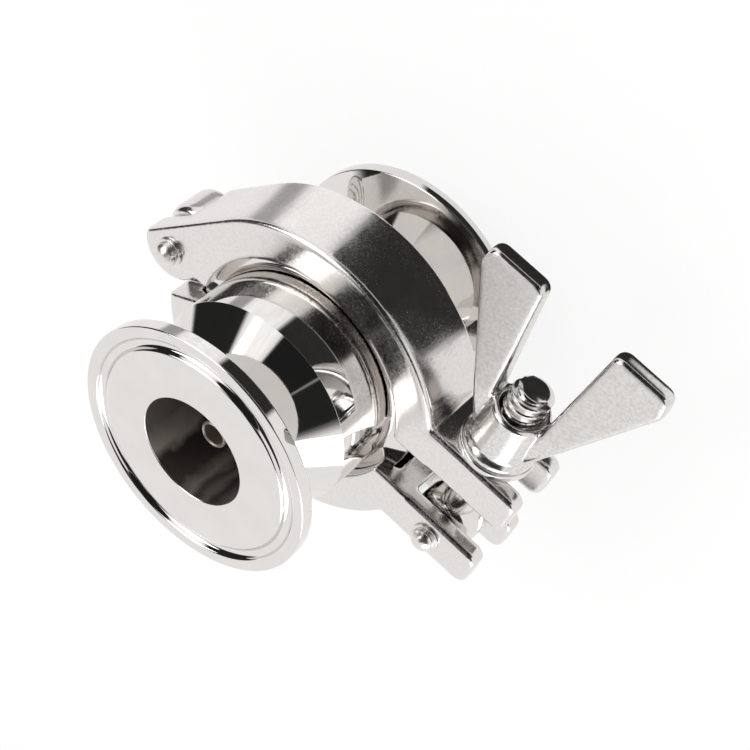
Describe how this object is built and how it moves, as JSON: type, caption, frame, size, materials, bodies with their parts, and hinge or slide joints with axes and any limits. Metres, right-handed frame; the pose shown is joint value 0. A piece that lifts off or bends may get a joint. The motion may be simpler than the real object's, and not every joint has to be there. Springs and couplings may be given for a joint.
{
  "type": "thermostatic steam trap",
  "caption": "Hygienic thermostatic steam trap: two turned body halves with clamp ferrules, held by a hinged clamp with swing bolt and wing nut, bellows valve inside.",
  "frame": {"origin": "centre of the lower (outlet) ferrule face, on the trap's axis", "axes": "+Z along the trap's axis from outlet to inlet; +X from the axis towards the swing bolt; +Y along the swing bolt, from its pivot to the wing nut"},
  "size_m": [0.0963, 0.0846, 0.063],
  "materials": {
    "polished_steel": "mirror polished stainless steel",
    "cast_steel": "cast stainless steel, polished",
    "bolt_steel": "bright turned stainless steel",
    "element_steel": "bright drawn stainless steel",
    "seal": "matt white sealing compound"
  },
  "bodies": {
    "trap": {"inlet_body": "polished_steel", "outlet_body": "polished_steel", "body_gasket": "seal", "valve_seat": "bolt_steel", "seat_washer": "bolt_steel", "element_spider": "element_steel", "spider_snap_ring": "element_steel", "element_stem": "element_steel", "stem_nut": "element_steel", "bellows_top_cap": "element_steel", "bellows": "element_steel", "clamp_lower_half": "cast_steel", "hinge_pin": "bolt_steel", "hinge_pin_washer": "bolt_steel", "bolt_pivot_pin": "bolt_steel", "bolt_pivot_washer": "bolt_steel"},
    "valve": {"bellows_bottom_cap": "element_steel", "valve_head": "bolt_steel"},
    "clamp_half": {"clamp_upper_half": "cast_steel"},
    "bolt": {"swing_bolt": "bolt_steel"},
    "washer": {"nut_washer": "bolt_steel"},
    "nut": {"wing_nut": "cast_steel"}
  },
  "joints": [
    {"name": "valve_stroke", "type": "slide", "parent": "trap", "child": "valve", "axis": [0, 0, -1], "range_m": [0, 0.0017], "stiffness_N_per_m": 2500, "deforming": ["bellows"]},
    {"name": "clamp_opening", "type": "hinge", "parent": "trap", "child": "clamp_half", "pos_m": [-0.0326, 0.0012, 0.02725], "axis": [0, 0, 1], "range_deg": [0, 4.6]},
    {"name": "bolt_swing", "type": "hinge", "parent": "trap", "child": "bolt", "pos_m": [0.0376, -0.01, 0.02725], "axis": [0, 0, -1], "range_deg": [0, 40.5]},
    {"name": "washer_travel", "type": "slide", "parent": "bolt", "child": "washer", "axis": [0, 1, 0], "range_m": [0, 0.0141]},
    {"name": "wing_nut_turn", "type": "hinge", "parent": "washer", "child": "nut", "pos_m": [0.0376, 0.016, 0.02725], "axis": [0, 1, 0], "range_deg": [0, 2520]}
  ],
  "couplings": [
    {"joint": "washer_travel", "follows": "wing_nut_turn", "m_per_rad": 0.00031831},
    {"joint": "bolt_swing", "follows": "wing_nut_turn", "ratio": 0.015873},
    {"joint": "clamp_opening", "follows": "wing_nut_turn", "ratio": 0.0017857}
  ]
}
